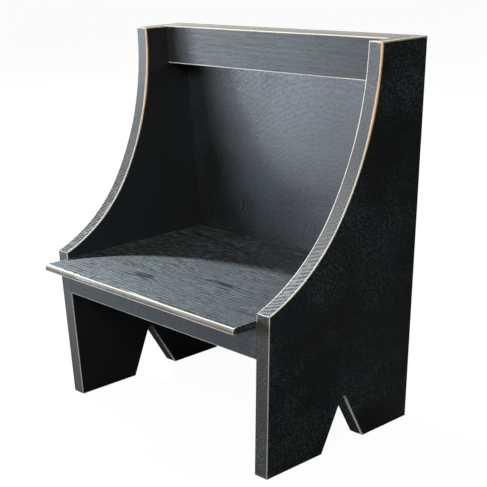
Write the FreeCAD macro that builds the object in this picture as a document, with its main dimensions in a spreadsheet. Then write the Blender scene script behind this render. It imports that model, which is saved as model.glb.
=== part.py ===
import FreeCAD, Part
import math
import os

import Sketcher
from FreeCAD import Placement, Rotation, Vector

# A small settle bench of solid boards. It stands on the floor at Z = 0, faces -Y, and the origin is under
# the middle of its outline. Both sides lean outwards towards the top, so every board between them has
# bevelled ends.

doc = FreeCAD.newDocument("SettleBench")
sheet = doc.addObject("Spreadsheet::Sheet", "Sizes")

# Driving dimensions in millimetres
dimensions = {
    # outline of the two sides
    "floorWidth": 610,          # over the outer faces at the floor
    "sideLean": 48,             # how far each side's top stands outside its foot
    "sideHeight": 762,
    "sideDepth": 388,
    "sideThick": 32,
    "topDepth": 124,            # what the front sweep leaves of the side at its top
    "elbowHeight": 316,         # where the sweep meets the upright front edge
    "frontFoot": 143,
    "rearFoot": 130,
    "notchPeak": 197,           # from the front edge to the middle of the notch's peak
    "notchHeight": 100,
    "notchFlat": 10,
    # seat
    "seatHeight": 303,
    "seatThick": 14,
    "seatOverhang": 56,
    # boards that span the sides
    "apronHeight": 61,
    "apronThick": 19,
    "railHeight": 81,
    "railThick": 50,
    "panelThick": 18,
    "panelSkirt": 58,           # how far the back panel hangs below the seat board
    "rabbetWidth": 16,
    "rearRailHeight": 45,
    "rearRailThick": 19,
    "cleatHeight": 32,
    "cleatThick": 22,           # at the cleat's lower edge
    # fastenings
    "dowelRadius": 4,
    "dowelLength": 40,
    "dowelMargin": 20,          # from the top rail's edges to its dowels
    "screwShankRadius": 2,
    "screwHeadRadius": 4,
    "screwHeadDepth": 2,
    "screwCover": 4,            # wood left over the point of a seat screw
    "nailWidth": 3,
    "nailHeadWidth": 6,
    "nailHeadDepth": 1.2,
    "nailCover": 3,             # wood left in front of a nail's point
    "nailMargin": 40,           # from the seat, the top and the sides to the nearest nails
    "cleatMargin": 45,          # from the cleat's ends to its first nails
    "fitGap": 0.15,             # round a dowel, a screw or a nail in its hole
    "overrun": 20,              # how far a cutter runs past the wood
}
# The sweep's turn from upright, in degrees
angles = {
    "meetAngle": 33,            # where its upper arc meets the lower one
    "elbowAngle": 70,           # where it ends at the elbow
}
# Roundings of the seat's nose, as shares of the board's thickness
shares = {
    "noseTopShare": 0.57,
    "noseBottomShare": 0.28,
}
for row, (alias, number) in enumerate((dimensions | angles | shares).items(), start=1):
    sheet.set(f"A{row}", alias)
    sheet.set(f"B{row}", str(number))
    sheet.setAlias(f"B{row}", alias)
doc.recompute()


# A size carries its value and the expression that binds a feature to the sheet
class Size:
    def __init__(self, value, text):
        self.value = float(value)
        self.text = text

    def __add__(self, other):
        other = asSize(other)
        return Size(self.value + other.value, f"({self.text} + {other.text})")

    def __sub__(self, other):
        other = asSize(other)
        return Size(self.value - other.value, f"({self.text} - {other.text})")

    def __mul__(self, other):
        other = asSize(other)
        return Size(self.value * other.value, f"({self.text} * {other.text})")

    def __truediv__(self, other):
        other = asSize(other)
        return Size(self.value / other.value, f"({self.text} / {other.text})")

    def __neg__(self):
        return Size(-self.value, f"(0 - {self.text})")


def asSize(amount):
    if isinstance(amount, Size):
        return amount
    return Size(amount, str(amount))


def cell(alias):
    return Size(getattr(sheet, alias), f"Sizes.{alias}")


def cosine(angle):
    return Size(math.cos(math.radians(angle.value)), f"cos({angle.text} * 1 deg)")


def sine(angle):
    return Size(math.sin(math.radians(angle.value)), f"sin({angle.text} * 1 deg)")


zero = asSize(0)
overrun = cell("overrun")
fitGap = cell("fitGap")

# A hand says which way is outwards along X
left = -1
right = 1

# Planes that the boards share
sideHeight = cell("sideHeight")
sideThick = cell("sideThick")
rearFace = (cell("sideDepth") + cell("seatOverhang")) / 2
frontFace = rearFace - cell("sideDepth")
panelFace = rearFace - cell("panelThick")
seatTop = cell("seatHeight")
seatUnder = seatTop - cell("seatThick")
seatFront = frontFace - cell("seatOverhang")
panelBottom = seatUnder - cell("panelSkirt")
rearRailFace = panelFace - cell("rearRailThick")


def outerFace(height, hand):
    return (cell("floorWidth") / 2 + cell("sideLean") * height / sideHeight) * hand


def innerFace(height, hand):
    return outerFace(height, hand) - sideThick * hand


# Sketching and modelling helpers
def newBody(label):
    body = doc.addObject("PartDesign::Body", label)
    body.Label = label
    return body


def newSketch(body, role, name, offset=None):
    sketch = body.newObject("Sketcher::SketchObject", name)
    plane = next(item for item in body.Origin.OriginFeatures if item.Role == role)
    sketch.AttachmentSupport = [(plane, "")]
    sketch.MapMode = "FlatFace"
    if offset is not None:
        sketch.setExpression("AttachmentOffset.Base.z", offset.text)
    return sketch


def bindDatum(sketch, constraint, size):
    index = sketch.addConstraint(constraint)
    sketch.setExpression(f"Constraints[{index}]", size.text)


def pinPoint(sketch, edge, end, corner):
    across, up = corner
    bindDatum(sketch, Sketcher.Constraint("DistanceX", -1, 1, edge, end, across.value), across)
    bindDatum(sketch, Sketcher.Constraint("DistanceY", -1, 1, edge, end, up.value), up)


def drawPolygon(sketch, corners):
    points = [Vector(across.value, up.value, 0) for across, up in corners]
    first = sketch.GeometryCount
    edges = range(first, first + len(corners))
    for point, following in zip(points, points[1:] + points[:1]):
        sketch.addGeometry(Part.LineSegment(point, following), False)
    for edge, following in zip(edges, list(edges)[1:] + [first]):
        sketch.addConstraint(Sketcher.Constraint("Coincident", edge, 2, following, 1))
    for edge, corner in zip(edges, corners):
        pinPoint(sketch, edge, 1, corner)


def padSketch(body, sketch, length, name):
    pad = body.newObject("PartDesign::Pad", name)
    pad.Profile = sketch
    pad.setExpression("Length", length.text)
    doc.recompute()


# A pocket has to take wood away, so its volume is compared with the volume before it
def pocketSketch(body, sketch, name, reverse=False):
    before = body.Shape.Volume
    pocket = body.newObject("PartDesign::Pocket", name)
    pocket.Profile = sketch
    pocket.Reversed = reverse
    pocket.Type = "ThroughAll"
    doc.recompute()
    if body.Shape.Volume >= before:
        raise RuntimeError(f"{name} cuts nothing from {body.Label}")


# A board whose outline is seen from the front, with its rear face at the given Y
def frontBoard(label, corners, rear, thickness):
    body = newBody(label)
    outline = newSketch(body, "XZ_Plane", f"{label}_outline", -rear)
    drawPolygon(outline, corners)
    padSketch(body, outline, thickness, f"{label}_board")
    return body


# The four corners of a board that fills the space between the sides from one height to another
def betweenSides(bottom, top, housed=zero):
    return [
        (innerFace(bottom, left) - housed, bottom),
        (innerFace(bottom, right) + housed, bottom),
        (innerFace(top, right) + housed, top),
        (innerFace(top, left) - housed, top),
    ]


# Sides
# Two arcs make the sweep. Their turns are given, so their radii follow from its depth and its height:
# depth = upper * (1 - cos(meet)) + lower * (cos(meet) - cos(end))
# height = upper * sin(meet) + lower * (sin(end) - sin(meet))
def sweepRadii():
    depth = cell("sideDepth") - cell("topDepth")
    height = sideHeight - cell("elbowHeight")
    meet = cell("meetAngle")
    end = cell("elbowAngle")
    upperDepth = -(cosine(meet) - 1)
    lowerDepth = cosine(meet) - cosine(end)
    upperHeight = sine(meet)
    lowerHeight = sine(end) - sine(meet)
    scale = upperDepth * lowerHeight - lowerDepth * upperHeight
    upper = (depth * lowerHeight - height * lowerDepth) / scale
    lower = (height * upperDepth - depth * upperHeight) / scale
    return upper, lower


# The wood in front of the sweep: two arcs that meet smoothly, upright at the top and sharp at the elbow
def drawSweepWaste(sketch):
    upperRadius, lowerRadius = sweepRadii()
    topCorner = (rearFace - cell("topDepth"), sideHeight)
    elbowCorner = (frontFace, cell("elbowHeight"))
    meet = math.radians(cell("meetAngle").value)
    end = math.radians(cell("elbowAngle").value)
    upperCentre = Vector((topCorner[0] - upperRadius).value, sideHeight.value, 0)
    between = Vector(math.cos(meet), -math.sin(meet), 0)
    lowerCentre = upperCentre + between * (upperRadius - lowerRadius).value
    upright = Vector(0, 0, 1)
    upperCircle = Part.Circle(upperCentre, upright, upperRadius.value)
    lowerCircle = Part.Circle(lowerCentre, upright, lowerRadius.value)
    upperArc = sketch.addGeometry(Part.ArcOfCircle(upperCircle, -meet, 0), False)
    lowerArc = sketch.addGeometry(Part.ArcOfCircle(lowerCircle, -end, -meet), False)

    corners = [
        topCorner,
        (topCorner[0], sideHeight + overrun),
        (frontFace - overrun, sideHeight + overrun),
        (frontFace - overrun, elbowCorner[1]),
        elbowCorner,
    ]
    points = [Vector(across.value, up.value, 0) for across, up in corners]
    lines = []
    for point, following in zip(points, points[1:]):
        lines.append(sketch.addGeometry(Part.LineSegment(point, following), False))
    for line, following in zip(lines, lines[1:]):
        sketch.addConstraint(Sketcher.Constraint("Coincident", line, 2, following, 1))
    for line, corner in zip(lines, corners):
        pinPoint(sketch, line, 1, corner)
    pinPoint(sketch, lines[-1], 2, elbowCorner)
    sketch.addConstraint(Sketcher.Constraint("Coincident", lines[-1], 2, lowerArc, 1))
    sketch.addConstraint(Sketcher.Constraint("Tangent", lowerArc, 2, upperArc, 1))
    sketch.addConstraint(Sketcher.Constraint("Tangent", upperArc, 2, lines[0], 1))
    bindDatum(sketch, Sketcher.Constraint("Radius", upperArc, upperRadius.value), upperRadius)
    bindDatum(sketch, Sketcher.Constraint("Radius", lowerArc, lowerRadius.value), lowerRadius)


def makeSide(label, hand):
    body = newBody(label)
    slab = newSketch(body, "XZ_Plane", f"{label}_slab_outline", -rearFace)
    drawPolygon(slab, [
        (outerFace(zero, hand), zero),
        (outerFace(sideHeight, hand), sideHeight),
        (innerFace(sideHeight, hand), sideHeight),
        (innerFace(zero, hand), zero),
    ])
    padSketch(body, slab, cell("sideDepth"), f"{label}_slab")

    sweep = newSketch(body, "YZ_Plane", f"{label}_sweep_outline")
    drawSweepWaste(sweep)
    pocketSketch(body, sweep, f"{label}_sweep", reverse=hand > 0)

    notch = newSketch(body, "YZ_Plane", f"{label}_notch_outline")
    peakFront = frontFace + cell("notchPeak") - cell("notchFlat") / 2
    footFront = frontFace + cell("frontFoot")
    footRear = rearFace - cell("rearFoot")
    drawPolygon(notch, [
        (footFront, -overrun),
        (footFront, zero),
        (peakFront, cell("notchHeight")),
        (peakFront + cell("notchFlat"), cell("notchHeight")),
        (footRear, zero),
        (footRear, -overrun),
    ])
    pocketSketch(body, notch, f"{label}_notch", reverse=hand > 0)

    # the rabbet runs from the back panel's lower edge to the side's top and out through its rear edge
    rabbet = newSketch(body, "XZ_Plane", f"{label}_rabbet_outline", -panelFace)
    housed = cell("rabbetWidth") * hand
    past = overrun * hand
    aboveTop = sideHeight + overrun
    drawPolygon(rabbet, [
        (innerFace(panelBottom, hand) - past, panelBottom),
        (innerFace(panelBottom, hand) + housed, panelBottom),
        (innerFace(aboveTop, hand) + housed, aboveTop),
        (innerFace(aboveTop, hand) - past, aboveTop),
    ])
    pocketSketch(body, rabbet, f"{label}_rabbet")
    return body


# Seat board, with both long front edges rounded over into a nose
def edgesAlongX(shape, depth, height):
    found = []
    for index, edge in enumerate(shape.Edges, start=1):
        ends = [vertex.Point for vertex in edge.Vertexes]
        if len(ends) == 2 and all(
            math.isclose(end.y, depth.value, abs_tol=1e-6) and math.isclose(end.z, height.value, abs_tol=1e-6)
            for end in ends
        ):
            found.append(f"Edge{index}")
    return found


def roundEdge(body, depth, height, radius, name):
    before = body.Tip
    names = edgesAlongX(before.Shape, depth, height)
    fillet = body.newObject("PartDesign::Fillet", name)
    fillet.Base = (before, names)
    fillet.setExpression("Radius", radius.text)
    doc.recompute()


def makeSeat():
    body = frontBoard("seat_board", betweenSides(seatUnder, seatTop), panelFace, panelFace - seatFront)
    roundEdge(body, seatFront, seatTop, cell("seatThick") * cell("noseTopShare"), "nose_top")
    roundEdge(body, seatFront, seatUnder, cell("seatThick") * cell("noseBottomShare"), "nose_bottom")
    return body


# Cleats under the seat: the outer face leans with the side and the inner face is upright for the nails
cleatFront = frontFace + cell("apronThick")
cleatBottom = seatUnder - cell("cleatHeight")


def cleatInnerFace(hand):
    return innerFace(cleatBottom, hand) - cell("cleatThick") * hand


def makeCleat(label, hand):
    corners = [
        (innerFace(cleatBottom, hand), cleatBottom),
        (innerFace(seatUnder, hand), seatUnder),
        (cleatInnerFace(hand), seatUnder),
        (cleatInnerFace(hand), cleatBottom),
    ]
    return frontBoard(label, corners, rearRailFace, rearRailFace - cleatFront)


boards = {
    "left_side": makeSide("left_side", left),
    "right_side": makeSide("right_side", right),
    "seat_board": makeSeat(),
    "front_apron": frontBoard(
        "front_apron",
        betweenSides(seatUnder - cell("apronHeight"), seatUnder),
        frontFace + cell("apronThick"),
        cell("apronThick"),
    ),
    "top_rail": frontBoard(
        "top_rail",
        betweenSides(sideHeight - cell("railHeight"), sideHeight),
        panelFace,
        cell("railThick"),
    ),
    "back_panel": frontBoard(
        "back_panel",
        betweenSides(panelBottom, sideHeight, cell("rabbetWidth")),
        rearFace,
        cell("panelThick"),
    ),
    "rear_seat_rail": frontBoard(
        "rear_seat_rail",
        betweenSides(seatUnder - cell("rearRailHeight"), seatUnder),
        panelFace,
        cell("rearRailThick"),
    ),
    "left_seat_cleat": makeCleat("left_seat_cleat", left),
    "right_seat_cleat": makeCleat("right_seat_cleat", right),
}


# Every fastening's pattern points along +Z. Zero is the face of a head, and the middle of a dowel. In a
# hole's cutter the mouth is how far it reaches out past the head's face.
def turnedBody(label, profile):
    body = newBody(label)
    half = newSketch(body, "XZ_Plane", f"{label}_profile")
    drawPolygon(half, profile)
    turning = body.newObject("PartDesign::Revolution", f"{label}_turning")
    turning.Profile = half
    turning.ReferenceAxis = (half, ["V_Axis"])
    turning.Angle = 360
    doc.recompute()
    return body


def dowelProfile(gap):
    radius = cell("dowelRadius") + gap
    end = cell("dowelLength") / 2 + gap
    return [(zero, -end), (radius, -end), (radius, end), (zero, end)]


def screwProfile(gap, mouth):
    shank = cell("screwShankRadius") + gap
    head = cell("screwHeadRadius") + gap
    length = cell("cleatHeight") + cell("seatThick") - cell("screwCover")
    return [
        (zero, -mouth),
        (head, -mouth),
        (head, cell("screwHeadDepth") + gap),
        (shank, cell("screwHeadDepth") + gap),
        (shank, length + gap),
        (zero, length + gap),
    ]


# A cut nail is square all the way, with a flat square head
def squareNail(label, gap, mouth):
    body = newBody(label)
    length = cell("panelThick") + cell("rearRailThick") - cell("nailCover")
    stretches = [
        ("head", cell("nailHeadWidth"), -mouth, cell("nailHeadDepth") + gap + mouth),
        ("shank", cell("nailWidth"), zero, length + gap),
    ]
    for name, width, start, reach in stretches:
        half = width / 2 + gap
        section = newSketch(body, "XY_Plane", f"{label}_{name}_section", start)
        drawPolygon(section, [(-half, -half), (half, -half), (half, half), (-half, half)])
        padSketch(body, section, reach, f"{label}_{name}")
    return body


patterns = {
    "dowel": turnedBody("dowel_pattern", dowelProfile(zero)),
    "dowelHole": turnedBody("dowel_hole_cutter", dowelProfile(fitGap)),
    "screw": turnedBody("screw_pattern", screwProfile(zero, zero)),
    "screwHole": turnedBody("screw_hole_cutter", screwProfile(fitGap, overrun)),
    "nail": squareNail("nail_pattern", zero, zero),
    "nailHole": squareNail("nail_hole_cutter", fitGap, overrun),
}


# Each place is where the fastening's zero point goes and the way that it points
def place(across, depth, up, direction):
    spot = Vector(across.value, depth.value, up.value)
    return Placement(spot, Rotation(Vector(0, 0, 1), Vector(*direction)))


def spread(low, high, count):
    step = (high - low) / (count - 1)
    return [low + step * index for index in range(count)]


def dowelPlaces(depth, heights):
    return [
        place(innerFace(height, hand), depth, height, (1, 0, 0))
        for hand in (left, right)
        for height in heights
    ]


counts = {
    "cleatNails": 3,            # in each cleat
    "seatScrews": 2,            # in each cleat
    "nailsUpSide": 5,           # through the back panel into each side
    "nailsAcrossRail": 3,       # through the back panel into each rail
}


def cleatNailPlaces(count):
    height = (cleatBottom + seatUnder) / 2
    first = cleatFront + cell("cleatMargin")
    last = rearRailFace - cell("cleatMargin")
    return [
        place(cleatInnerFace(hand), depth, height, (hand, 0, 0))
        for hand in (left, right)
        for depth in spread(first, last, count)
    ]


# seat screws go up through the cleats, between the cleat nails
def seatScrewPlaces(count):
    first = cleatFront + cell("cleatMargin")
    last = rearRailFace - cell("cleatMargin")
    step = (last - first) / count
    depths = [first + step * (index + 1 / 2) for index in range(count)]
    return [
        place(cleatInnerFace(hand) + cell("cleatThick") / 2 * hand, depth, cleatBottom, (0, 0, 1))
        for hand in (left, right)
        for depth in depths
    ]


def backNailPlaces(countUp, countAcross):
    backwards = (0, -1, 0)
    margin = cell("nailMargin")
    places = []
    for hand in (left, right):
        for height in spread(seatTop + margin, sideHeight - margin, countUp):
            across = innerFace(height, hand) + cell("rabbetWidth") / 2 * hand
            places.append(place(across, rearFace, height, backwards))
    railMiddles = [seatUnder - cell("rearRailHeight") / 2, sideHeight - cell("railHeight") / 2]
    for height in railMiddles:
        reach = innerFace(height, right) - margin
        for across in spread(-reach, reach, countAcross):
            places.append(place(across, rearFace, height, backwards))
    return places


dowelMargin = cell("dowelMargin")
rowsInTopRail = [sideHeight - cell("railHeight") + dowelMargin, sideHeight - dowelMargin]
rowsInApron = [seatUnder - cell("apronHeight") / 2]
rowsInRearRail = [seatUnder - cell("rearRailHeight") / 2]
fastenings = {
    "top_rail_dowels": ("dowel", dowelPlaces(panelFace - cell("railThick") / 2, rowsInTopRail)),
    "apron_dowels": ("dowel", dowelPlaces(frontFace + cell("apronThick") / 2, rowsInApron)),
    "rear_rail_dowels": ("dowel", dowelPlaces(panelFace - cell("rearRailThick") / 2, rowsInRearRail)),
    "cleat_nails": ("nail", cleatNailPlaces(counts["cleatNails"])),
    "seat_screws": ("screw", seatScrewPlaces(counts["seatScrews"])),
    "back_nails": ("nail", backNailPlaces(counts["nailsUpSide"], counts["nailsAcrossRail"])),
}

# Which fastenings pass through which board
drilledBy = {
    "left_side": ["top_rail_dowels", "apron_dowels", "rear_rail_dowels", "cleat_nails", "back_nails"],
    "right_side": ["top_rail_dowels", "apron_dowels", "rear_rail_dowels", "cleat_nails", "back_nails"],
    "seat_board": ["seat_screws"],
    "front_apron": ["apron_dowels"],
    "top_rail": ["top_rail_dowels", "back_nails"],
    "back_panel": ["back_nails"],
    "rear_seat_rail": ["rear_rail_dowels", "back_nails"],
    "left_seat_cleat": ["cleat_nails", "seat_screws"],
    "right_seat_cleat": ["cleat_nails", "seat_screws"],
}


def copiesAt(pattern, places):
    copies = []
    for spot in places:
        copy = patterns[pattern].Shape.copy()
        copy.Placement = spot.multiply(copy.Placement)
        copies.append(copy)
    return Part.makeCompound(copies)


def makeGroup(label, pattern, places):
    group = doc.addObject("Part::Feature", label)
    group.Label = label
    group.Shape = copiesAt(pattern, places)
    group.Placement = Placement()
    return group


def drillBoard(name, board):
    board.Label = f"{name}_board"
    cutters = []
    for group in drilledBy[name]:
        pattern, places = fastenings[group]
        cutters.append(copiesAt(f"{pattern}Hole", places))
    cutter = doc.addObject("Part::Feature", f"{name}_drills")
    cutter.Shape = Part.makeCompound(cutters)
    drilled = doc.addObject("Part::Cut", name)
    drilled.Label = name
    drilled.Base = board
    drilled.Tool = cutter
    return drilled


pieces = {name: drillBoard(name, board) for name, board in boards.items()}
for name, (pattern, places) in fastenings.items():
    pieces[name] = makeGroup(name, pattern, places)
doc.recompute()

# Nothing is written unless every object is sound
for item in doc.Objects:
    if "Invalid" in item.State or "Error" in item.State:
        raise RuntimeError(f"{item.Label} did not recompute: {item.State}")
for name, piece in pieces.items():
    if piece.Shape.isNull() or not piece.Shape.isValid():
        raise RuntimeError(f"{name} has no sound shape")

os.makedirs("parts", exist_ok=True)
for name, piece in pieces.items():
    piece.Shape.exportStep(f"parts/{name}.step")
    box = piece.Shape.BoundBox
    print(
        f"{name}: {len(piece.Shape.Solids)} solids, {piece.Shape.Volume / 1000:.1f} cm3, "
        f"X {box.XMin:.1f} to {box.XMax:.1f}, Y {box.YMin:.1f} to {box.YMax:.1f}, "
        f"Z {box.ZMin:.1f} to {box.ZMax:.1f}"
    )
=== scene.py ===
import math
import random
from functools import partial

import bmesh
import bpy
from mathutils import Matrix, Vector


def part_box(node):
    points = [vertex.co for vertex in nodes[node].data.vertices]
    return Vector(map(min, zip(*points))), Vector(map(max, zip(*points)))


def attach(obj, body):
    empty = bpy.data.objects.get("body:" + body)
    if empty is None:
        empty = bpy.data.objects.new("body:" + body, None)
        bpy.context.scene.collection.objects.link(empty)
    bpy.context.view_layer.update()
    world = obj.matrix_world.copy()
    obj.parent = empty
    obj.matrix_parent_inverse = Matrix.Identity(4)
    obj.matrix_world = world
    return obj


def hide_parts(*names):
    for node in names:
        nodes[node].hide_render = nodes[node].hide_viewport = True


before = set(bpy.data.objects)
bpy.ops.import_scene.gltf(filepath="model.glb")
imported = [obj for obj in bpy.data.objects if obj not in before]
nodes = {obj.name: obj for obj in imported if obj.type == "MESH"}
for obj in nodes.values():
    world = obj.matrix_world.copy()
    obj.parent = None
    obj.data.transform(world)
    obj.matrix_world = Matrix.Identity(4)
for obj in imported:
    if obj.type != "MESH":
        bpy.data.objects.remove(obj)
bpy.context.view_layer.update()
scene = bpy.context.scene

# The bench in metres: X across, Y to the back, Z up
bench = {
    "footHalf": 0.305,                  # outer face of a side at the floor
    "lean": 0.048,                      # how far a side leans out up to its top
    "height": 0.762,
    "sideThick": 0.032,
    "front": -0.166,
    "rear": 0.222,
    "topFront": 0.098,                  # the depth at which the sweep meets the top
    "elbow": 0.316,                     # the height at which it meets the front
    "meetTurn": math.radians(33),       # how far it has turned where its two arcs meet
    "elbowTurn": math.radians(70),
    "notch": [(-0.023, 0.0), (0.026, 0.1), (0.036, 0.1), (0.092, 0.0)],
}


def sweepArcs():
    # upper and lower radius from the depth and the height that the two arcs cover
    depth = bench["topFront"] - bench["front"]
    height = bench["height"] - bench["elbow"]
    meet, end = bench["meetTurn"], bench["elbowTurn"]
    upperDepth, lowerDepth = 1 - math.cos(meet), math.cos(meet) - math.cos(end)
    upperHeight, lowerHeight = math.sin(meet), math.sin(end) - math.sin(meet)
    scale = upperDepth * lowerHeight - lowerDepth * upperHeight
    upper = (depth * lowerHeight - height * lowerDepth) / scale
    lower = (height * upperDepth - depth * upperHeight) / scale
    upperCentre = Vector((0, bench["topFront"] - upper, bench["height"]))
    towards = Vector((0, math.cos(meet), -math.sin(meet)))
    return upperCentre, upper, upperCentre + towards * (upper - lower), lower, towards


def newObject(name, data):
    thing = bpy.data.objects.new(name, data)
    scene.collection.objects.link(thing)
    return thing


# Node helpers: a link where the value is a socket, else a plain number
def feed(tree, socket, value):
    if isinstance(value, bpy.types.NodeSocket):
        tree.links.new(value, socket)
    elif value is not None:
        socket.default_value = value


def calc(tree, operation, first, second=None):
    node = tree.nodes.new("ShaderNodeMath")
    node.operation = operation
    feed(tree, node.inputs[0], first)
    feed(tree, node.inputs[1], second)
    return node.outputs[0]


def times(tree, first, second):
    return calc(tree, "MULTIPLY", first, second)


def plus(tree, first, second):
    return calc(tree, "ADD", first, second)


def minus(tree, first, second):
    return calc(tree, "SUBTRACT", first, second)


def larger(tree, first, second):
    return calc(tree, "MAXIMUM", first, second)


def vectorCalc(tree, operation, first, second=None):
    node = tree.nodes.new("ShaderNodeVectorMath")
    node.operation = operation
    feed(tree, node.inputs[0], first)
    feed(tree, node.inputs[1], second)
    return node.outputs["Value" if operation in ("DOT_PRODUCT", "LENGTH", "DISTANCE") else "Vector"]


def ramp(tree, value, low, high, start=0.0, end=1.0, smooth=True):
    node = tree.nodes.new("ShaderNodeMapRange")
    node.interpolation_type = "SMOOTHSTEP" if smooth else "LINEAR"
    for name, number in (("Value", value), ("From Min", low), ("From Max", high),
                         ("To Min", start), ("To Max", end)):
        feed(tree, node.inputs[name], number)
    return node.outputs["Result"]


# The whole share up to the first of two limits, and nothing past the second
def near(tree, value, limits, share=1.0):
    return ramp(tree, value, *limits, share, 0.0)


# A Mix node has several sockets called A and B, so the colour ones are found by their type
def blendColour(tree, share, first, second):
    node = tree.nodes.new("ShaderNodeMix")
    node.data_type = "RGBA"
    feed(tree, node.inputs[0], share)
    low, high = [socket for socket in node.inputs if socket.type == "RGBA"]
    feed(tree, low, first)
    feed(tree, high, second)
    return next(socket for socket in node.outputs if socket.type == "RGBA")


def placed(tree, point, location=(0, 0, 0), rotation=(0, 0, 0), scale=(1, 1, 1)):
    node = tree.nodes.new("ShaderNodeMapping")
    feed(tree, node.inputs["Vector"], point)
    feed(tree, node.inputs["Location"], location)
    feed(tree, node.inputs["Rotation"], rotation)
    feed(tree, node.inputs["Scale"], scale)
    return node.outputs[0]


# A scale of three numbers stretches the noise
def noise(tree, point, scale, detail, roughness):
    if isinstance(scale, tuple):
        point, scale = placed(tree, point, scale=scale), 1.0
    node = tree.nodes.new("ShaderNodeTexNoise")
    for name, value in (("Vector", point), ("Scale", scale), ("Detail", detail), ("Roughness", roughness)):
        feed(tree, node.inputs[name], value)
    return node.outputs[0]


# How far a point is from a plane, given by its normal and its distance from the origin
def planeGap(tree, point, normal, offset):
    along = vectorCalc(tree, "DOT_PRODUCT", point, normal)
    return calc(tree, "ABSOLUTE", minus(tree, along, offset))


# The distance to the nearest arris is the second smallest of the distances to the board's faces
def arrisGap(tree, gaps):
    nearest, second = gaps[0], None
    for gap in gaps[1:]:
        farther = larger(tree, nearest, gap)
        second = farther if second is None else calc(tree, "MINIMUM", second, farther)
        nearest = calc(tree, "MINIMUM", nearest, gap)
    return second


# A material with its node tree, its shader and the point on the surface
def newMaterial(name):
    material = bpy.data.materials.new(name)
    material.use_nodes = True
    tree = material.node_tree
    point = tree.nodes.new("ShaderNodeTexCoord").outputs["Object"]
    return material, tree, tree.nodes["Principled BSDF"], point


def bump(tree, shader, height, distance, strength=None):
    node = tree.nodes.new("ShaderNodeBump")
    feed(tree, node.inputs["Strength"], strength)
    feed(tree, node.inputs["Distance"], distance)
    feed(tree, node.inputs["Height"], height)
    feed(tree, shader.inputs["Normal"], node.outputs["Normal"])


print("materials: node helpers ready")

# Paint and wood. A noise is its scale, detail and roughness. A range is a value's two limits,
# and then what is given at them where that isn't 0 and 1
noiseMiddle = 0.5
paint = {
    "black": (0.0075, 0.0090, 0.0110, 1),
    "blackCool": (0.005, 0.013, 0.021, 1),
    "coolRange": (0.38, 0.64),                  # of the clouds
    "thinned": (0.090, 0.133, 0.160, 1),        # where the brush left least
    "speckleRange": (0.46, 0.70),
    "speckleSheenClouds": (0.3, 0.65, 0.4, 1.0),     # the clouds thin the speckles out, in patches that are partly a painted sheen
    "sanded": (0.068, 0.066, 0.061, 1),         # the sweep, smoothed before the last coat
    "knot": (0.004, 0.004, 0.004, 1),
    "knotShare": 0.7,
    "lateShare": 0.1,                           # how far late wood takes the knots' colour
    "unworn": (0.0012, 0.0012, 0.0016, 1),      # painted shade: the sides' inner faces darker, most of all under the seat
    "brush": ((4, 120, 120), 4.0, 0.6),
    "clouds": (5.5, 3.0, 0.5),
    "rough": 0.46,
    "leastRough": 0.31,
    "fibreRelief": 0.5,
    "brushRelief": 0.5,
    "bumpStrength": 0.5,
    "specular": 1.0,
    "ior": 1.62,
    "specularTint": (0.80, 0.89, 1.0, 1),
}
bareWood = {
    "cream": (0.95, 0.935, 0.90, 1),
    "gold": (0.96, 0.81, 0.575, 1),             # where rubbing has gone deep
    "goldRange": (0.3, 0.65, 0.7, 1.0),         # of the fibre
    "border": (0.46, 0.21, 0.07, 1),
    "rubbed": (0.50, 0.465, 0.42, 1),           # thin grey-brown film left by rubbing
    "filmRange": (0.25, 0.6, 0.75, 1.0),        # of the brush marks
    "filmRough": 0.18,
    "stain": (0.036, 0.021, 0.012, 1),          # dark ring where paint meets wood
    "stainShare": 0.7,
    "rough": 0.62,
}

# The bare line along an arris is as wide as the board's line times an uneven share
bareLine = {
    "waver": (17.0, 3.0, 0.5),
    "waverShare": 0.9,
    "nibble": (210.0, 3.0, 0.6),
    "nibbleShare": 0.35,
    "leastShare": 0.38,
    "bareRange": (0.82, 1.08, 1.0, 0.0),        # this and the next two are of the line's width
    "stainRange": (1.0, 1.35, 1.0, 0.0),
    "borderRange": (0.56, 0.84),
    "deepRange": (0.0029, 0.0042),              # widths between which the bare wood turns gold
    "ridgeUneven": 0.4,
    "ridgeLeast": 0.75,
    "ridgeRange": (0.7, 1.1, 1.0, 0.0),
}

# The rasp's marks. The key -1 is the left side and 1 the right one, here and further down
rasp = {
    "pitch": 0.0082,
    "slant": {-1: -1.1, 1: -0.5},
    "rise": 0.75,
    "strokes": {-1: (-0.7, 0.2), 1: (-0.4, 0.8)},
    "stray": 9.0,
    "strayNoise": (45.0, 3.0, 0.6),
    "patches": (76.5, 2.0, 0.5),
    "patchRange": (0.28, 0.52),
    "depth": 0.9,
}

# Grain that the paint nearly hides. A board's own middle and turn are added to it
quietGrain = {
    "heart": (0.0, 0.12, 0.07),
    "tilt": (0, math.radians(2), 0),
    "rings": 30.0,
    "wobble": (0.4, 2.0, 1.0),                  # distortion, detail and detail scale
    "wander": 6.0,
    "wanderNoise": ((0.8, 9, 9), 3.0, 0.5),
    "lateRange": (0.45, 1.0),                   # of a ring's width
    "ringRough": -0.03,
    "ringRelief": 0.15,
    "fibre": ((9, 420, 420), 5.0, 0.6),
    "pores": ((26, 900, 900), 3.0, 0.7),
    "poreRange": (0.50, 0.66),
    "poreGloss": 0.05,
    "poreRelief": 0.35,
    "speckles": ((260, 260, 260), 3.0, 0.7),
    "speckle": 0.25,
    "rough": paint["rough"],
    "brushRough": 0.10,
    "cloudRough": 0.0,
    "relief": 0.0005,
    "knotShift": 14.0,                          # how far a knot shifts the rings, in radians
    "knotGloss": 0.08,
    "knotHeart": 0.0,                           # how much glossier its middle is than its rim
    "heartRange": (0.40, 0.70),
    "knotRelief": 0.0,
    "knotPale": 0.0,
}


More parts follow.
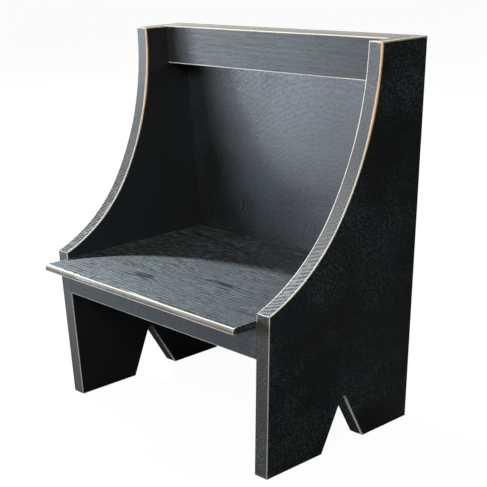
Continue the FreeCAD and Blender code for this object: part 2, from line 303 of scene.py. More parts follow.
# A mound over each knot: where its middle is, how far it spreads and how high it is
def knotMounds(tree, point, knots):
    mounds = None
    for spot, spread, push in knots:
        offset = vectorCalc(tree, "SUBTRACT", point, spot)
        reach = vectorCalc(tree, "LENGTH", vectorCalc(tree, "DIVIDE", offset, spread))
        mound = times(tree, near(tree, reach, (0.0, 1.0)), push)
        mounds = mound if mounds is None else plus(tree, mounds, mound)
    return mounds


# Growth rings round a heart outside the board, bent by slow wander and by the knots
def lateWood(tree, laid, grain, mounds):
    rings = tree.nodes.new("ShaderNodeTexWave")
    rings.wave_type = "RINGS"
    rings.rings_direction = "X"
    rings.wave_profile = "SAW"
    feed(tree, rings.inputs["Vector"], placed(tree, laid, grain["heart"], grain["tilt"]))
    feed(tree, rings.inputs["Scale"], grain["rings"])
    for name, value in zip(("Distortion", "Detail", "Detail Scale"), grain["wobble"]):
        feed(tree, rings.inputs[name], value)
    phase = times(tree, noise(tree, laid, *grain["wanderNoise"]), grain["wander"])
    if mounds is not None:
        phase = plus(tree, phase, times(tree, mounds, grain["knotShift"]))
    feed(tree, rings.inputs["Phase Offset"], phase)
    return ramp(tree, rings.outputs["Fac"], *grain["lateRange"])


# Bare wood along the arrises, a little uneven, in a dark ring, and with a tan border where it is wide
def wornArrises(tree, point, surfaces):
    uneven = plus(tree, times(tree, noise(tree, point, *bareLine["waver"]), bareLine["waverShare"]),
                  times(tree, noise(tree, point, *bareLine["nibble"]), bareLine["nibbleShare"]))
    width = times(tree, plus(tree, uneven, bareLine["leastShare"]), surfaces["line"])
    away = calc(tree, "DIVIDE", arrisGap(tree, surfaces["gaps"]), width)
    bare = ramp(tree, away, *bareLine["bareRange"])
    if "fresh" in surfaces:
        bare = times(tree, bare, surfaces["fresh"])
    if "worn" in surfaces:
        bare = larger(tree, bare, surfaces["worn"])
    # ridges are bare lines along X; the seat's upper one is also a painted highlight
    for spot, ridgeLine in surfaces.get("ridges", ()):
        flat = vectorCalc(tree, "MULTIPLY", point, (0, 1, 1))
        ridgeGap = vectorCalc(tree, "DISTANCE", flat, (0, *spot))
        share = plus(tree, times(tree, uneven, bareLine["ridgeUneven"]), bareLine["ridgeLeast"])
        ridgeAway = calc(tree, "DIVIDE", ridgeGap, times(tree, share, ridgeLine))
        bare = larger(tree, bare, ramp(tree, ridgeAway, *bareLine["ridgeRange"]))
    deep = ramp(tree, surfaces.get("deepLine", surfaces["line"]), *bareLine["deepRange"])
    border = times(tree, ramp(tree, away, *bareLine["borderRange"]), deep)
    return bare, ramp(tree, away, *bareLine["stainRange"]), deep, border


def raspMarks(tree, point, surfaces):
    across = Vector((surfaces["slant"], rasp["rise"], 1)).normalized()
    turns = times(tree, vectorCalc(tree, "DOT_PRODUCT", point, tuple(across)), math.tau / rasp["pitch"])
    stray = times(tree, noise(tree, point, *rasp["strayNoise"]), rasp["stray"])
    strokes = ramp(tree, calc(tree, "SINE", plus(tree, turns, stray)), *surfaces["strokes"])
    patches = ramp(tree, noise(tree, point, *rasp["patches"]), *rasp["patchRange"])
    return times(tree, times(tree, strokes, patches), surfaces["rasped"])


# The black coat with the grain that shows through it. grain gives the board's middle, the turn that lays
# its fibres along X, and where its tree's heart runs
def blackCoat(tree, point, grain, surfaces, knots):
    laid = placed(tree, vectorCalc(tree, "SUBTRACT", point, grain["middle"]), rotation=grain["turn"])
    mounds = knotMounds(tree, point, knots)
    late = lateWood(tree, laid, grain, mounds)
    fibre = noise(tree, laid, *grain["fibre"])
    pores = ramp(tree, noise(tree, laid, *grain["pores"]), *grain["poreRange"])
    speckles = ramp(tree, noise(tree, laid, *grain["speckles"]), *paint["speckleRange"])
    brush = noise(tree, laid, *paint["brush"])
    clouds = noise(tree, point, *paint["clouds"])

    colour = blendColour(tree, ramp(tree, clouds, *paint["coolRange"]), paint["black"], paint["blackCool"])
    # pale speckles thinned out by clouds, partly a painted sheen
    thin = times(tree, speckles, ramp(tree, clouds, *paint["speckleSheenClouds"]))
    thin = times(tree, thin, surfaces.get("speckle", grain["speckle"]))
    colour = blendColour(tree, thin, colour, paint["thinned"])
    colour = blendColour(tree, times(tree, late, paint["lateShare"]), colour, paint["knot"])
    rough = plus(tree, grain["rough"], times(tree, minus(tree, brush, noiseMiddle), grain["brushRough"]))
    rough = plus(tree, rough, times(tree, late, grain["ringRough"]))
    rough = minus(tree, rough, times(tree, pores, grain["poreGloss"]))
    rough = plus(tree, rough, times(tree, minus(tree, clouds, noiseMiddle), grain["cloudRough"]))
    relief = minus(tree, times(tree, fibre, paint["fibreRelief"]), times(tree, late, grain["ringRelief"]))
    relief = minus(tree, relief, times(tree, pores, grain["poreRelief"]))
    relief = plus(tree, relief, times(tree, brush, paint["brushRelief"]))
    if "smoother" in surfaces:
        rough = minus(tree, rough, surfaces["smoother"])
    if mounds is not None:
        colour = blendColour(tree, times(tree, mounds, paint["knotShare"]), colour, paint["knot"])
        knotRings = times(tree, mounds, late)
        colour = blendColour(tree, times(tree, knotRings, grain["knotPale"]), colour, paint["thinned"])
        rough = minus(tree, rough, times(tree, mounds, grain["knotGloss"]))
        rough = minus(tree, rough, ramp(tree, mounds, *grain["heartRange"], 0.0, grain["knotHeart"]))
        relief = minus(tree, relief, times(tree, knotRings, grain["knotRelief"]))
    # painted shade: the sides' inner faces are darkened, most of all under the seat
    if "unworn" in surfaces:
        colour = blendColour(tree, surfaces["unworn"], colour, paint["unworn"])
    return colour, rough, relief, fibre, brush


# surfacesOf gives the gaps to the board's faces and what is worn on them
def paintedBoard(name, grain, surfacesOf, knots=()):
    material, tree, shader, point = newMaterial(name)
    surfaces = surfacesOf(tree, point)
    colour, rough, relief, fibre, brush = blackCoat(tree, point, grain, surfaces, knots)

    # rasp marks slant across the sawn sweep, which is sanded between them
    if "sweep" in surfaces:
        marks = raspMarks(tree, point, surfaces)
        sanded = times(tree, surfaces["sweep"], minus(tree, 1.0, marks))
        # sanded grey on the sweep, fading towards its top as painted shade
        colour = blendColour(tree, sanded, colour, paint["sanded"])
        rough = plus(tree, rough, times(tree, surfaces["sweep"], surfaces["sweepRough"]))
        cut = times(tree, marks, surfaces["sweep"])
        rough = plus(tree, rough, times(tree, cut, surfaces["raspRough"]))
        relief = minus(tree, relief, times(tree, cut, rasp["depth"]))

    # a thin rubbed film on the tops, on the sides' front edges and along the seat's nose
    if "rubbed" in surfaces:
        film = times(tree, surfaces["rubbed"], ramp(tree, brush, *bareWood["filmRange"]))
        colour = blendColour(tree, film, colour, bareWood["rubbed"])
        rough = plus(tree, rough, times(tree, film, bareWood["filmRough"]))

    bare, stained, deep, border = wornArrises(tree, point, surfaces)
    colour = blendColour(tree, times(tree, stained, bareWood["stainShare"]), colour, bareWood["stain"])
    golden = times(tree, deep, ramp(tree, fibre, *bareWood["goldRange"]))
    timber = blendColour(tree, golden, bareWood["cream"], bareWood["gold"])
    timber = blendColour(tree, border, timber, bareWood["border"])
    rough = plus(tree, rough, times(tree, bare, bareWood["rough"] - paint["rough"]))
    feed(tree, shader.inputs["Base Color"], blendColour(tree, bare, colour, timber))
    feed(tree, shader.inputs["Roughness"], larger(tree, rough, paint["leastRough"]))
    shader.inputs["IOR"].default_value = paint["ior"]
    shader.inputs["Specular IOR Level"].default_value = paint["specular"]
    shader.inputs["Specular Tint"].default_value = paint["specularTint"]
    bump(tree, shader, relief, grain["relief"], paint["bumpStrength"])
    return material


# A board is a merged copy of its CAD node with its long arrises eased
arris = {
    "merge": 0.00001,
    "flatTurn": math.radians(0.4),      # faces that turn less than this are joined
    "sharpTurn": math.radians(20),
    "shortest": 0.009,                  # shorter ones stay sharp
    "uneven": (0.85, 1.0),
}


def easedBoard(name, node, easing, material):
    mesh = bpy.data.meshes.new(name)
    work = bmesh.new()
    work.from_mesh(nodes[node].data)
    bmesh.ops.remove_doubles(work, verts=work.verts[:], dist=arris["merge"])
    bmesh.ops.dissolve_limit(work, angle_limit=arris["flatTurn"], verts=work.verts[:], edges=work.edges[:])
    weights = work.edges.layers.float.new("bevel_weight_edge")
    dice = random.Random(easing["seed"])
    eased = 0
    for edge in work.edges:
        isArris = len(edge.link_faces) == 2 and edge.calc_face_angle(0) > arris["sharpTurn"]
        if isArris and edge.calc_length() > arris["shortest"]:
            edge[weights] = easing["width"](edge) / easing["most"] * dice.uniform(*arris["uneven"])
            eased += 1
        edge.smooth = not isArris or edge[weights] > 0
    work.to_mesh(mesh)
    work.free()
    for face in mesh.polygons:
        face.use_smooth = True
    piece = newObject(name, mesh)
    bevel = piece.modifiers.new("easing", "BEVEL")
    bevel.limit_method = "WEIGHT"
    bevel.width = easing["most"]
    bevel.segments = easing["segments"]
    bevel.miter_outer = "MITER_ARC"
    weighted = piece.modifiers.new("flatFaces", "WEIGHTED_NORMAL")
    weighted.keep_sharp = True
    mesh.materials.append(material)
    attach(piece, "root")
    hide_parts(node)
    print(f"{name}: {eased} arrises eased")


# Sides. A pair of heights, of depths, or of distances from a face (a fade) says where a change starts
# and where it is complete
side = {
    "line": 0.0016,                                         # bare line along every arris
    "strip": 0.0046,                                        # bare strip where hands rub the sweep
    "stripHeights": (0.45, 0.64),
    "stripDepths": (bench["topFront"] + 0.006, bench["topFront"] + 0.012),
    "rubbedFade": (0.008, 0.014),
    "sweepLine": 0.0023,
    "sweepLineFade": (0.003, 0.006),
    "topLine": 0.0030,
    "topLineFade": (0.003, 0.005),
    "topWorn": 0.8,                                         # how bare the top is beside its rubbed arris
    "topWornFade": (0.0008, 0.0016),
    "topWornWidth": (0.005, 0.008),
    "notchLine": 0.0030,
    "notchFade": (0.003, 0.006),
    "kept": {"legs": 0.8, "rear": 0.5, "elbow": 0.7, "joint": 0.97},        # how much narrower a line is
    "legHeights": (bench["elbow"] - 0.03, bench["elbow"]),
    "rearDepths": (bench["front"] + 0.04, bench["front"] + 0.12),
    "rearFade": (0.004, 0.008),
    "elbowFade": (0.002, 0.004),
    "jointFade": (0.004, 0.006),
    "jointFoot": (0.226, 0.230),                            # heights across the apron's lower edge
    "jointTop": (0.288, 0.292),                             # and across its upper one
    "faded": 0.45,                                          # how much paint is left in the line on the legs
    "rubbed": 0.72,
    "frontFilm": 0.10,
    "frontGloss": {-1: -0.04, 1: 0.17},
    "edgeFade": (0.0010, 0.0022),
    "sweepFade": (0.0010, 0.0020),
    "sandedTopShade": 0.30,                                      # how much of the sanded grey is left at the sweep's top; less, so the upper sweep is darker, a painted shade
    "sandedShadeHeights": (0.42, 0.66),
    "sweepRough": {-1: 0.20, 1: 0.16},
    "sweepRoughTop": 0.24,
    "sweepRoughHeights": (0.45, 0.66),
    "raspedTop": 0.4,                                       # how much of the rasp's marks is left there
    "raspedHeights": {-1: (0.40, 0.62), 1: (0.345, 0.47)},
    "raspRough": {-1: 0.70, 1: 0.20},
    "raspRoughTop": 0.04,
    "raspRoughHeights": (0.36, 0.56),
    "unworn": 0.9,                                          # painted shade on the inner face, full under the seat
    "unwornAbove": 0.55,                                    # how much of that painted shade is left above the seat
    "unwornHeights": (0.280, 0.300),
    "unwornFade": (0.0008, 0.0020),
    "speckle": {-1: 0.22, 1: 1.3},
    "speckleTopReflection": 1.4,                                      # how many times as much there is at the top, a painted reflection that lightens the upper sides
    "speckleReflectionHeights": (0.56, 0.74),
    "speckleNoise": (8.0, 3.0, 0.55),
    # patches of more and fewer speckles, partly a painted sheen
    "speckleSheenPatches": (0.36, 0.62, 0.4, 1.6),
    "ease": 0.0012,
    "easeStrip": 0.0028,
    "easeHeights": (bench["elbow"], bench["height"] - 0.001),
    "easeDepth": bench["topFront"] + 0.004,
    "segments": 3,
    "seed": {-1: 11, 1: 12},
    "grain": {
        **quietGrain, "middle": (0.0, 0.03, 0.38), "turn": (0, math.radians(90), 0),
        "heart": (0.0, 0.16, 0.30), "tilt": (0, math.radians(1.5), math.radians(2)),
        "knotShift": 6.0, "knotRelief": 1.0, "knotPale": 0.35,
    },
    "knots": {-1: (), 1: [((0.343, 0.165, 0.600), (0.06, 0.050, 0.026), 1.0)]},
}


# The lower arc counts below the place where the two arcs meet, and the upper one above it
def sweepGap(tree, point):
    flat = vectorCalc(tree, "MULTIPLY", point, (0, 1, 1))
    upperCentre, upper, lowerCentre, lower, towards = sweepArcs()
    toUpper = minus(tree, vectorCalc(tree, "DISTANCE", flat, tuple(upperCentre)), upper)
    toLower = minus(tree, vectorCalc(tree, "DISTANCE", flat, tuple(lowerCentre)), lower)
    across = (0, towards.z, -towards.y)
    past = vectorCalc(tree, "DOT_PRODUCT", vectorCalc(tree, "SUBTRACT", flat, tuple(upperCentre)), across)
    isBelow = calc(tree, "GREATER_THAN", past, 0.0)
    change = times(tree, isBelow, minus(tree, toLower, toUpper))
    return calc(tree, "ABSOLUTE", plus(tree, toUpper, change))


# A leaning side's two broad faces and every stretch of its outline
def sideGaps(tree, point, height, hand):
    slope = bench["lean"] / bench["height"]
    length = math.hypot(1, slope)
    normal = (hand / length, 0, -slope / length)
    gaps = {
        "outer": planeGap(tree, point, normal, bench["footHalf"] / length),
        "inner": planeGap(tree, point, normal, (bench["footHalf"] - bench["sideThick"]) / length),
        "top": planeGap(tree, point, (0, 0, 1), bench["height"]),
        "front": planeGap(tree, point, (0, 1, 0), bench["front"]),
        "floor": planeGap(tree, point, (0, 0, 1), 0.0),
        "rear": planeGap(tree, point, (0, 1, 0), bench["rear"]),
        "sweep": sweepGap(tree, point),
    }
    frontFoot, frontPeak, rearPeak, rearFoot = bench["notch"]
    beyondPeak = larger(tree, minus(tree, height, frontPeak[1]), 0.0)
    flanks = {"frontFlank": (frontFoot, frontPeak), "rearFlank": (rearPeak, rearFoot)}
    for name, ((y0, z0), (y1, z1)) in flanks.items():
        turn = Vector((0, z1 - z0, y0 - y1)).normalized()
        flank = planeGap(tree, point, tuple(turn), turn.dot(Vector((0, y0, z0))))
        gaps[name] = larger(tree, flank, beyondPeak)
    middle, half = (frontPeak[0] + rearPeak[0]) / 2, (rearPeak[0] - frontPeak[0]) / 2
    aside = minus(tree, planeGap(tree, point, (0, 1, 0), middle), half)
    gaps["peak"] = larger(tree, planeGap(tree, point, (0, 0, 1), frontPeak[1]), aside)
    return gaps


def sideSurfaces(tree, point, hand):
    height = vectorCalc(tree, "DOT_PRODUCT", point, (0, 0, 1))
    depth = vectorCalc(tree, "DOT_PRODUCT", point, (0, 1, 0))
    gaps = sideGaps(tree, point, height, hand)
    top, front, inner, sweep = gaps["top"], gaps["front"], gaps["inner"], gaps["sweep"]

    # on both sides the face towards +X takes the strip
    rubbedFace = gaps["outer"] if hand > 0 else inner
    onRubbed = near(tree, rubbedFace, side["rubbedFade"])
    high = times(tree, onRubbed, ramp(tree, height, *side["stripHeights"]))
    strip = times(tree, high, near(tree, depth, side["stripDepths"]))
    line = plus(tree, side["line"], times(tree, strip, side["strip"] - side["line"]))
    line = larger(tree, line, near(tree, sweep, side["sweepLineFade"], side["sweepLine"]))

    # the arrises away from the hands keep more paint, those of the legs most,
    # and paint runs over the joint with the apron
    below = near(tree, height, side["legHeights"])
    legs = times(tree, below, minus(tree, 1.0, onRubbed))
    rear = times(tree, ramp(tree, depth, *side["rearDepths"]), ramp(tree, sweep, *side["rearFade"]))
    elbow = times(tree, near(tree, front, side["elbowFade"]), near(tree, sweep, side["elbowFade"]))
    joint = times(tree, near(tree, inner, side["jointFade"]), near(tree, front, side["jointFade"]))
    joint = times(tree, joint, ramp(tree, height, *side["jointFoot"]))
    joint = times(tree, joint, near(tree, height, side["jointTop"]))
    kept = times(tree, legs, side["kept"]["legs"])
    for name, place in (("rear", rear), ("elbow", elbow), ("joint", joint)):
        kept = larger(tree, kept, times(tree, place, side["kept"][name]))
    line = times(tree, line, minus(tree, 1.0, kept))

    # the line is wide again on the top and on the notch's rear flank
    topLine = times(tree, onRubbed, near(tree, top, side["topLineFade"], side["topLine"]))
    notch = times(tree, onRubbed, near(tree, gaps["rearFlank"], side["notchFade"]))
    wideLine = larger(tree, topLine, times(tree, notch, side["notchLine"]))
    fresh = minus(tree, 1.0, times(tree, below, side["faded"]))

    # speckles in patches that are partly a painted sheen
    patches = ramp(tree, noise(tree, point, *side["speckleNoise"]), *side["speckleSheenPatches"])
    speckle = side["speckle"][hand]
    # more speckles towards the top: a painted reflection
    speckleWithTopReflection = ramp(tree, height, *side["speckleReflectionHeights"], speckle, speckle * side["speckleTopReflection"])
    return {
        "gaps": list(gaps.values()),
        "line": larger(tree, line, wideLine),
        "deepLine": line,
        "worn": times(tree, near(tree, top, side["topWornFade"]),
                      near(tree, rubbedFace, side["topWornWidth"], side["topWorn"])),
        "fresh": larger(tree, fresh, notch),
        "rubbed": larger(tree, near(tree, top, side["edgeFade"], side["rubbed"]),
                         near(tree, front, side["edgeFade"], side["frontFilm"])),
        "smoother": near(tree, front, side["edgeFade"], side["frontGloss"][hand]),
        # the sanded sweep, its roughness and rasp relief fade towards the top, where the darker grey is
        # painted shade
        "sweep": times(tree, near(tree, sweep, side["sweepFade"]),
                       ramp(tree, height, *side["sandedShadeHeights"], 1.0, side["sandedTopShade"])),
        "sweepRough": ramp(tree, height, *side["sweepRoughHeights"], side["sweepRough"][hand],
                           side["sweepRoughTop"]),
        "slant": rasp["slant"][hand],
        "strokes": rasp["strokes"][hand],
        "rasped": ramp(tree, height, *side["raspedHeights"][hand], 1.0, side["raspedTop"]),
        "raspRough": ramp(tree, height, *side["raspRoughHeights"], side["raspRough"][hand],
                          side["raspRoughTop"]),
        # painted shade on the inner face, most of all under the seat
        "unworn": times(tree, near(tree, inner, side["unwornFade"], side["unworn"]),
                        ramp(tree, height, *side["unwornHeights"], 1.0, side["unwornAbove"])),
        "speckle": times(tree, patches, speckleWithTopReflection),
    }


def sideEasing(edge, hand):
    middle = (edge.verts[0].co + edge.verts[1].co) / 2
    low, high = side["easeHeights"]
    onSweep = low < middle.z < high and middle.y < side["easeDepth"]
    outer = bench["footHalf"] + bench["lean"] * middle.z / bench["height"]
    centre = hand * (outer - bench["sideThick"] / 2)
    if not onSweep or middle.x < centre:
        return side["ease"]
    start, full = side["stripHeights"]
    share = (middle.z - start) / (full - start)
    return side["ease"] + (side["easeStrip"] - side["ease"]) * min(1.0, max(0.0, share))


for word, hand in (("left", -1), ("right", 1)):
    material = paintedBoard(f"blackPaintOn{word.capitalize()}Side", side["grain"],
                            partial(sideSurfaces, hand=hand), side["knots"][hand])
    easedBoard(f"{word}SideBoard", f"{word}_side",
               {"width": partial(sideEasing, hand=hand), "most": side["easeStrip"],
                "segments": side["segments"], "seed": side["seed"][hand]}, material)


# Boards between the sides. A small letter is a board's low face along that axis, and a capital its high one.
# Rubbed and smoother are a face, two distances from it and a share, which is full on the face and fades out
# between the distances. Thinning and lineEnds change to their last value instead. A ridge is a bare line
# along X: its Y and Z, and its width. The upper ridge on the seat's nose is also a painted highlight
def boardSurfaces(spec, low, high):
    def surfacesOf(tree, point):
        def faceGap(letter):
            index = "xyz".index(letter.lower())
            normal = tuple(1.0 if k == index else 0.0 for k in range(3))
            return planeGap(tree, point, normal, (low if letter.islower() else high)[index])

        gaps = {letter: faceGap(letter) for letter in spec["faces"]}
        surfaces = {"gaps": list(gaps.values()), "line": spec["line"], "ridges": spec.get("ridges", ())}
        if "lineEnds" in spec:
            letter, start, end, least = spec["lineEnds"]
            surfaces["line"] = ramp(tree, gaps[letter], start, end, spec["line"], least)
        if "rubbed" in spec:
            letter, start, end, share = spec["rubbed"]
            surfaces["rubbed"] = near(tree, gaps[letter], (start, end), share)
        if "thinning" in spec:
            letter, start, end, share = spec["thinning"]
            thinner = ramp(tree, gaps[letter], start, end, 1.0, share, smooth=False)
            surfaces["rubbed"] = times(tree, surfaces["rubbed"], thinner)
        for letter, start, end, share in spec.get("smoother", ()):
            smoother = ramp(tree, faceGap(letter), start, end, share, 0.0, smooth=False)
            surfaces["smoother"] = plus(tree, smoother, surfaces.get("smoother", 0.0))
        return surfaces
    return surfacesOf


boards = {
    "seat_board": {
        "name": "seatBoard", "paint": "blackPaintOnSeat", "seed": 21, "faces": "xXyzZ",
        "line": 0.0012, "ease": 0.0006,
        "grain": {
            **quietGrain, "middle": (0, 0, 0.296), "turn": (0, 0, 0), "heart": (0.0, -0.16, 0.07),
            "tilt": (0, math.radians(2), math.radians(1.5)), "rings": 34.0, "wander": 5.0,
            "ringRough": -0.33, "ringRelief": 1.0, "pores": ((32, 330, 330), 3.0, 0.7),
            "poreGloss": 0.30, "poreRelief": 0.15, "speckles": ((46, 330, 330), 3.0, 0.7), "speckle": 1.6,
            "rough": 0.63, "brushRough": 0.60, "relief": 0.0010, "knotShift": 7.0, "knotGloss": 0.12,
            "knotHeart": 0.18,
        },
        "knots": [
            ((-0.073, -0.129, 0.303), (0.074, 0.030, 0.05), 0.85),
            ((0.085, -0.066, 0.303), (0.11, 0.022, 0.05), 0.7),
            ((0.25, -0.15, 0.303), (0.09, 0.018, 0.05), 0.6),
        ],
        "ridges": [((-0.2188, 0.3014), 0.0011), ((-0.2216, 0.2914), 0.0012)],     # on the nose's round; the upper one is bare wood and a painted highlight
        "rubbed": ("y", 0.0034, 0.0050, 0.60),
        "thinning": ("Z", 0.002, 0.010, 0.25),
        "lineEnds": ("y", 0.006, 0.012, 0.0001),
        "smoother": [("X", 0.02, 0.45, -0.17), ("y", 0.009, 0.018, -0.15)],
    },
    "front_apron": {
        "name": "frontApron", "paint": "blackPaintOnApron", "seed": 22, "faces": "yYzZ",
        "line": 0.0013, "ease": 0.0010,
        "grain": {
            **quietGrain, "middle": (0, -0.156, 0.258), "turn": (math.radians(90), 0, 0), "rough": 0.58,
            "speckle": 0.5,
        },
    },
    "top_rail": {
        "name": "topRail", "paint": "blackPaintOnTopRail", "seed": 23, "faces": "yzZ",
        "line": 0.0021, "ease": 0.0012,
        "grain": {
            **quietGrain, "middle": (0, 0.18, 0.72), "turn": (math.radians(90), 0, 0),
            "heart": (0.0, 0.13, 0.09), "rough": 0.55,
        },
        "rubbed": ("Z", 0.0010, 0.0022, 0.72),
        "smoother": [("X", 0.0, 0.25, -0.06)],
    },
    "back_panel": {
        "name": "backPanel", "paint": "blackPaintOnBack", "seed": 24, "faces": "yYzZ",
        "line": 0.0012, "ease": 0.0010,
        "grain": {
            **quietGrain, "middle": (0, 0.21, 0.5), "turn": (0, math.radians(90), math.radians(90)),
            "heart": (0.0, 0.2, 0.12), "ringRelief": 0.08, "poreGloss": 0.0, "poreRelief": 0.0,
            "speckle": 0.3, "rough": 0.47, "brushRough": 0.28, "cloudRough": 0.22, "relief": 0.0006,
            "knotShift": 9.0, "knotRelief": 2.5, "knotPale": 0.8,
        },
        "knots": [((-0.13, 0.204, 0.371), (0.042, 0.05, 0.036), 1.0)],
        "rubbed": ("Z", 0.0010, 0.0022, 0.72),
        "smoother": [("z", 0.06, 0.42, 0.11)],
    },
    "rear_seat_rail": {
        "name": "rearSeatRail", "paint": "blackPaintOnRearRail", "seed": 25, "faces": "yYzZ",
        "line": 0.0010, "ease": 0.0010,
        "grain": {**quietGrain, "middle": (0, 0.195, 0.266), "turn": (math.radians(90), 0, 0)},
    },
    "left_seat_cleat": {
        "name": "leftSeatCleat", "paint": "blackPaintOnLeftCleat", "seed": 26, "faces": "XzZ",
        "line": 0.0009, "ease": 0.0010,
        "grain": {**quietGrain, "middle": (-0.28, 0.02, 0.273), "turn": (0, 0, math.radians(90))},
    },
    "right_seat_cleat": {
        "name": "rightSeatCleat", "paint": "blackPaintOnRightCleat", "seed": 27, "faces": "xzZ",
        "line": 0.0009, "ease": 0.0010,
        "grain": {**quietGrain, "middle": (0.28, 0.02, 0.273), "turn": (0, 0, math.radians(90))},
    },
}
boardSegments = 2             # of the eased arrises
for node, spec in boards.items():
    low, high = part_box(node)
    surfacesOf = boardSurfaces(spec, low, high)
    material = paintedBoard(spec["paint"], spec["grain"], surfacesOf, spec.get("knots", ()))
    easedBoard(spec["name"], node,
               {"width": lambda edge, ease=spec["ease"]: ease, "most": spec["ease"],
                "segments": boardSegments, "seed": spec["seed"]}, material)


# Fastenings keep their CAD shapes
nailSteel = {
    "steel": (0.20, 0.195, 0.19, 1),
    "rust": (0.10, 0.045, 0.022, 1),
    "rustNoise": (420.0, 4.0, 0.6),
    "rustRange": (0.48, 0.66),
    "rustShare": 0.7,                   # how much less metallic rust is
    "roughNoise": (260.0, 3.0, 0.6),
    "roughRange": (0.3, 0.7, 0.38, 0.66),
    "pits": (700.0, 3.0, 0.6),
    "relief": 0.0002,
}
dowelWood = {
    "pale": (0.60, 0.44, 0.27, 1),
    "dark": (0.45, 0.30, 0.17, 1),
    "fibre": ((20, 700, 700), 4.0, 0.6),
    "darkRange": (0.35, 0.65),
    "roughRange": (0.3, 0.7, 0.5, 0.68),
    "relief": 0.0003,
}


def dullSteel(name):
    material, tree, shader, point = newMaterial(name)
    rust = ramp(tree, noise(tree, point, *nailSteel["rustNoise"]), *nailSteel["rustRange"])
    rough = ramp(tree, noise(tree, point, *nailSteel["roughNoise"]), *nailSteel["roughRange"])
    feed(tree, shader.inputs["Base Color"], blendColour(tree, rust, nailSteel["steel"], nailSteel["rust"]))
    feed(tree, shader.inputs["Metallic"], minus(tree, 1.0, times(tree, rust, nailSteel["rustShare"])))
    feed(tree, shader.inputs["Roughness"], rough)
    bump(tree, shader, noise(tree, point, *nailSteel["pits"]), nailSteel["relief"])
    return material


def bareDowel(name):
    material, tree, shader, point = newMaterial(name)
    fibre = noise(tree, point, *dowelWood["fibre"])
    dark = ramp(tree, fibre, *dowelWood["darkRange"])
    feed(tree, shader.inputs["Base Color"], blendColour(tree, dark, dowelWood["pale"], dowelWood["dark"]))
    feed(tree, shader.inputs["Roughness"], ramp(tree, fibre, *dowelWood["roughRange"]))
    bump(tree, shader, fibre, dowelWood["relief"])
    return material


steelLook = dullSteel("dullNailSteel")
dowelLook = bareDowel("bareDowelWood")
fastenings = {
    "cleat_nails": steelLook, "seat_screws": steelLook, "back_nails": steelLook,
    "top_rail_dowels": dowelLook, "apron_dowels": dowelLook, "rear_rail_dowels": dowelLook,
}
for node, look in fastenings.items():
    nodes[node].data.materials.clear()
    nodes[node].data.materials.append(look)
print("fastenings: six groups finished")

# Camera, from the vanishing lines and corner points of the view. Focal, centre and frame are in pixels
view = {
    "place": (1.6464, -1.4105, 0.9521),
    "right": (0.6752, 0.73681, -0.03497),
    "down": (0.17997, -0.21052, -0.96088),
    "forward": (-0.71534, 0.64249, -0.27474),
    "focal": 1118.0,
    "centre": (242.2, 252.7),
    "frame": 487,
    "sensor": 36,
    "clipStart": 0.05,
    "clipEnd": 60,
}
lens = bpy.data.cameras.new("benchView")
camera = newObject("benchView", lens)
turn = Matrix((Vector(view["right"]), -Vector(view["down"]), -Vector(view["forward"]))).transposed()
camera.matrix_world = Matrix.Translation(view["place"]) @ turn.to_4x4()
lens.sensor_width = view["sensor"]
lens.lens = view["focal"] * view["sensor"] / view["frame"]
lens.shift_x = (view["frame"] / 2 - view["centre"][0]) / view["frame"]
lens.shift_y = (view["centre"][1] - view["frame"] / 2) / view["frame"]
lens.clip_start = view["clipStart"]
lens.clip_end = view["clipEnd"]
scene.camera = camera

studio = {
    "floorHalf": 20.0,
    "floorDrop": 0.0004,
    "floorWhite": 0.96,                 # the glow that the camera sees
    "floorShade": 0.06,                 # what is added to it, so that a soft shadow shows
    "floorGrey": 0.05,                  # the floor to all other rays
    "surround": (0.93, 0.97, 1.0, 1),
    "ambient": 0.028,
}


# The camera sees one shader, and all other rays the other
def pickByRay(tree, seen, other, output):
    pick = tree.nodes.new("ShaderNodeMixShader")
    tree.links.new(tree.nodes.new("ShaderNodeLightPath").outputs["Is Camera Ray"], pick.inputs[0])
    tree.links.new(other.outputs[0], pick.inputs[1])
    tree.links.new(seen.outputs[0], pick.inputs[2])
    tree.links.new(pick.outputs[0], tree.nodes.new(output).inputs[0])


# A node of one kind with its Color socket set
def coloured(tree, kind, colour):
    node = tree.nodes.new(kind)
    node.inputs["Color"].default_value = colour
    return node


# A pale floor that keeps a soft shadow
floorMesh = bpy.data.meshes.new("studioFloor")
work = bmesh.new()
bmesh.ops.create_grid(work, x_segments=1, y_segments=1, size=studio["floorHalf"])
bmesh.ops.translate(work, verts=work.verts[:], vec=(0, 0, -studio["floorDrop"]))
work.to_mesh(floorMesh)
work.free()
floor = newObject("studioFloor", floorMesh)
floorPaint = bpy.data.materials.new("paleStudioFloor")
floorPaint.use_nodes = True
tree = floorPaint.node_tree
tree.nodes.clear()
glow = tree.nodes.new("ShaderNodeEmission")
glow.inputs["Strength"].default_value = studio["floorWhite"]
shade = coloured(tree, "ShaderNodeBsdfDiffuse", (studio["floorShade"],) * 3 + (1,))
both = tree.nodes.new("ShaderNodeAddShader")
tree.links.new(glow.outputs[0], both.inputs[0])
tree.links.new(shade.outputs[0], both.inputs[1])
grey = coloured(tree, "ShaderNodeBsdfDiffuse", (studio["floorGrey"],) * 3 + (1,))
pickByRay(tree, both, grey, "ShaderNodeOutputMaterial")
floorMesh.materials.append(floorPaint)

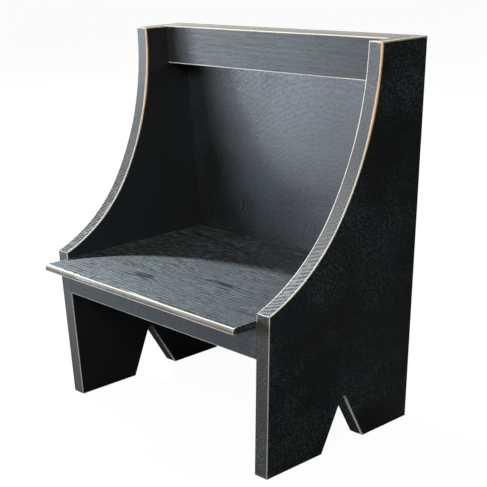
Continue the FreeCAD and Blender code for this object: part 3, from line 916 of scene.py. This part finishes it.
# World: white to the camera, an even dim surround for the object
world = bpy.data.worlds.new("studioSurround")
scene.world = world
world.use_nodes = True
tree = world.node_tree
tree.nodes.clear()
white = coloured(tree, "ShaderNodeBackground", (1, 1, 1, 1))
dim = coloured(tree, "ShaderNodeBackground", studio["surround"])
dim.inputs["Strength"].default_value = studio["ambient"]
pickByRay(tree, white, dim, "ShaderNodeOutputWorld")

# Lamps: leftKey is small and high on the bench's left, frontLeft and farLeft are low in front of it on the
# left, frontRight is high in front of it on the right, and backLeft is low behind it on the left.
# At a lamp's aim, a white face turned to it is as bright as its level
lamps = {
    "leftKey": {
        "place": (-4.23, 0.36, 3.81), "aim": (0, 0, 0.3), "size": (0.32, 0.32),
        "level": 1.2, "tint": (0.95, 1.0, 0.985),
    },
    "frontLeft": {
        "place": (-2.4, -2.5, 0.74), "aim": (0, 0.1, 0.45), "size": (2.5, 0.8),
        "level": 0.39, "tint": (0.97, 0.985, 1.0),
    },
    "farLeft": {
        "place": (-3.6, -2.1, 0.40), "aim": (0, 0.1, 0.45), "size": (0.9, 0.6),
        "level": 0.20, "tint": (0.97, 0.985, 1.0),
    },
    "frontRight": {
        "place": (1.3, -2.4, 2.4), "aim": (0, 0, 0.4), "size": (1.4, 1.2),
        "level": 0.68, "tint": (1.0, 0.86, 0.70),
    },
    "backLeft": {
        "place": (-1.4, 2.7, 0.42), "aim": (0, 0.2, 0.42), "size": (1.8, 0.6),
        "level": 0.50, "tint": (1.0, 1.0, 1.0),
    },
}
for name, spec in lamps.items():
    data = bpy.data.lights.new(name, "AREA")
    data.shape = "RECTANGLE"
    data.size, data.size_y = spec["size"]
    away = Vector(spec["place"]) - Vector(spec["aim"])
    data.energy = spec["level"] * math.pi ** 2 * away.length_squared
    data.color = spec["tint"]
    lamp = newObject(name, data)
    turn = away.to_track_quat("Z", "Y").to_matrix().to_4x4()
    lamp.matrix_world = Matrix.Translation(spec["place"]) @ turn
    lamp.visible_camera = False
print("studio: camera, floor and lamps ready")

scene.view_settings.view_transform = "Standard"
